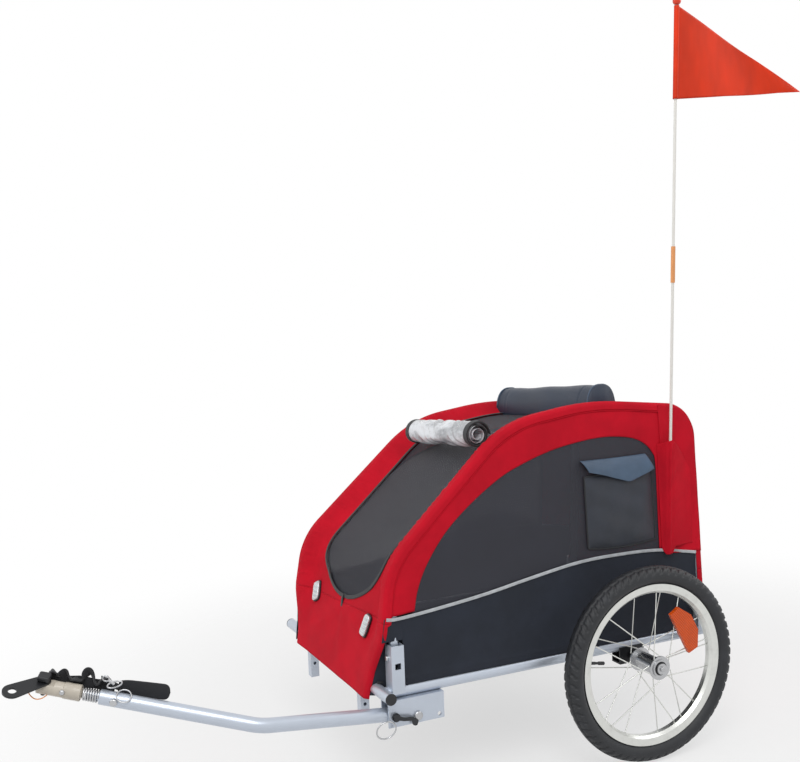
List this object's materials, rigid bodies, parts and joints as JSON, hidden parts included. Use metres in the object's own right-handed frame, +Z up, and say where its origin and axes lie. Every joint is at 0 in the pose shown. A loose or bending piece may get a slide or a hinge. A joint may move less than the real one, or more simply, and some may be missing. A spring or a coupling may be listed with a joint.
{
  "type": "dog bike trailer",
  "caption": "Two-wheeled bicycle trailer for a dog: tube chassis, folding side arches under a fabric cover with mesh windows, folding tow bar with a sprung hitch, and a safety flag.",
  "frame": {"origin": "on the ground, midway between the wheels, under the axle line", "axes": "+X forward towards the hitch, +Y to the trailer's left, +Z up"},
  "size_m": [1.6889, 0.7106, 1.5388],
  "materials": {
    "silver_tube": "satin anodised",
    "rim_silver": "polished",
    "black_plastic": "moulded",
    "black_steel": "powder coat",
    "grey_steel": "zinc plated",
    "bright_steel": "zinc plated",
    "cream_sleeve": "satin",
    "floor_board": "sheet",
    "black_webbing": "woven",
    "red_fabric": "coated weave",
    "dark_fabric": "coated weave",
    "grey_fabric": "coated weave",
    "mesh": "open net",
    "clear_reflector": "prismatic",
    "orange_reflector": "prismatic",
    "clear_vinyl": "clear sheet",
    "white_rod": "glass fibre",
    "copper": "drawn",
    "orange_fabric": "coated weave",
    "tyre": "moulded"
  },
  "bodies": {
    "chassis": {"left_rail": "silver_tube", "right_rail": "silver_tube", "front_cross_tube": "silver_tube", "rear_cross_tube": "silver_tube", "tube_plugs": "black_plastic", "axle_brackets": "black_steel", "left_posts": "black_plastic", "right_posts": "black_plastic", "post_pivot_bolts": "bright_steel", "front_leg_sockets": "silver_tube", "floor_panel": "floor_board", "tow_bracket": "grey_steel", "tow_pivot_bolt": "bright_steel", "wheel_axles": "bright_steel", "front_panel": "red_fabric", "roof_panel": "red_fabric", "rear_panel": "red_fabric", "front_mesh": "mesh", "front_reflectors": "clear_reflector", "rain_flap_roll": "clear_vinyl", "roof_roll": "dark_fabric", "left_lower_panel": "dark_fabric", "right_lower_panel": "dark_fabric"},
    "left_wheel": {"left_tyre": "tyre", "left_rim": "rim_silver", "left_spokes": "bright_steel", "left_hub": "silver_tube", "left_bearings": "bright_steel", "left_reflector": "orange_reflector"},
    "right_wheel": {"right_tyre": "tyre", "right_rim": "rim_silver", "right_spokes": "bright_steel", "right_hub": "silver_tube", "right_bearings": "bright_steel", "right_reflector": "orange_reflector"},
    "left_button": {"left_release_button": "bright_steel"},
    "right_button": {"right_release_button": "bright_steel"},
    "tow_arm": {"tow_bar": "silver_tube", "hitch_spring": "bright_steel", "hitch_bolts": "bright_steel", "safety_strap": "black_webbing", "strap_ring": "bright_steel"},
    "tow_pin": {"tow_lock_pin": "bright_steel"},
    "hitch_head": {"hitch_sleeve": "cream_sleeve"},
    "hitch_tongue": {"hitch_plate": "black_steel"},
    "hitch_peg": {"hitch_pin": "black_plastic"},
    "left_side": {"left_arch": "silver_tube", "left_side_panel": "red_fabric", "left_side_mesh": "mesh", "left_pocket": "dark_fabric"},
    "right_side": {"right_arch": "silver_tube", "right_side_panel": "red_fabric", "right_side_mesh": "mesh"},
    "pocket_cover": {"left_pocket_flap": "grey_fabric"},
    "flag_staff": {"flag_pole": "white_rod", "pole_ferrule": "copper", "flag": "orange_fabric", "flag_finial": "black_plastic"}
  },
  "joints": [
    {"name": "left_wheel_spin", "type": "hinge", "parent": "chassis", "child": "left_wheel", "pos_m": [0, 0.311, 0.2], "axis": [0, 1, 0], "continuous": true},
    {"name": "right_wheel_spin", "type": "hinge", "parent": "chassis", "child": "right_wheel", "pos_m": [0, -0.311, 0.2], "axis": [0, 1, 0], "continuous": true},
    {"name": "left_button_press", "type": "slide", "parent": "chassis", "child": "left_button", "axis": [0, -1, 0], "range_m": [0, 0.003], "stiffness_N_per_m": 400},
    {"name": "right_button_press", "type": "slide", "parent": "chassis", "child": "right_button", "axis": [0, 1, 0], "range_m": [0, 0.003], "stiffness_N_per_m": 400},
    {"name": "tow_bar_fold", "type": "hinge", "parent": "chassis", "child": "tow_arm", "pos_m": [0.495, 0.238, 0.172], "axis": [0, 1, 0], "range_deg": [0, 180]},
    {"name": "tow_pin_pull", "type": "slide", "parent": "chassis", "child": "tow_pin", "axis": [0, 1, 0], "range_m": [0, 0.046]},
    {"name": "hitch_flex", "type": "hinge", "parent": "tow_arm", "child": "hitch_head", "pos_m": [1.09407, 0.11375, 0.2855], "axis": [0.3859, 0.9225, 0], "range_deg": [-8, 15], "stiffness_Nm_per_rad": 30},
    {"name": "hitch_plate_swing", "type": "hinge", "parent": "hitch_head", "child": "hitch_tongue", "pos_m": [1.14488, 0.09678, 0.31115], "axis": [-0.09, 0.3726, 0.9236], "range_deg": [-90, 40]},
    {"name": "hitch_pin_pull", "type": "slide", "parent": "hitch_head", "child": "hitch_peg", "axis": [-0.09, 0.3726, 0.9236], "range_m": [0, 0.035]},
    {"name": "left_side_fold", "type": "hinge", "parent": "chassis", "child": "left_side", "pos_m": [0, 0.238, 0.286], "axis": [1, 0, 0], "range_deg": [0, 86]},
    {"name": "right_side_fold", "type": "hinge", "parent": "chassis", "child": "right_side", "pos_m": [0, -0.238, 0.252], "axis": [-1, 0, 0], "range_deg": [0, 86]},
    {"name": "pocket_flap_lift", "type": "hinge", "parent": "left_side", "child": "pocket_cover", "pos_m": [0, 0.22753, 0.60926], "axis": [1, 0, 0], "range_deg": [0, 88]},
    {"name": "flag_pole_lift", "type": "slide", "parent": "chassis", "child": "flag_staff", "axis": [-0.0384, 0, 0.9993], "range_m": [0, 0.24]}
  ]
}
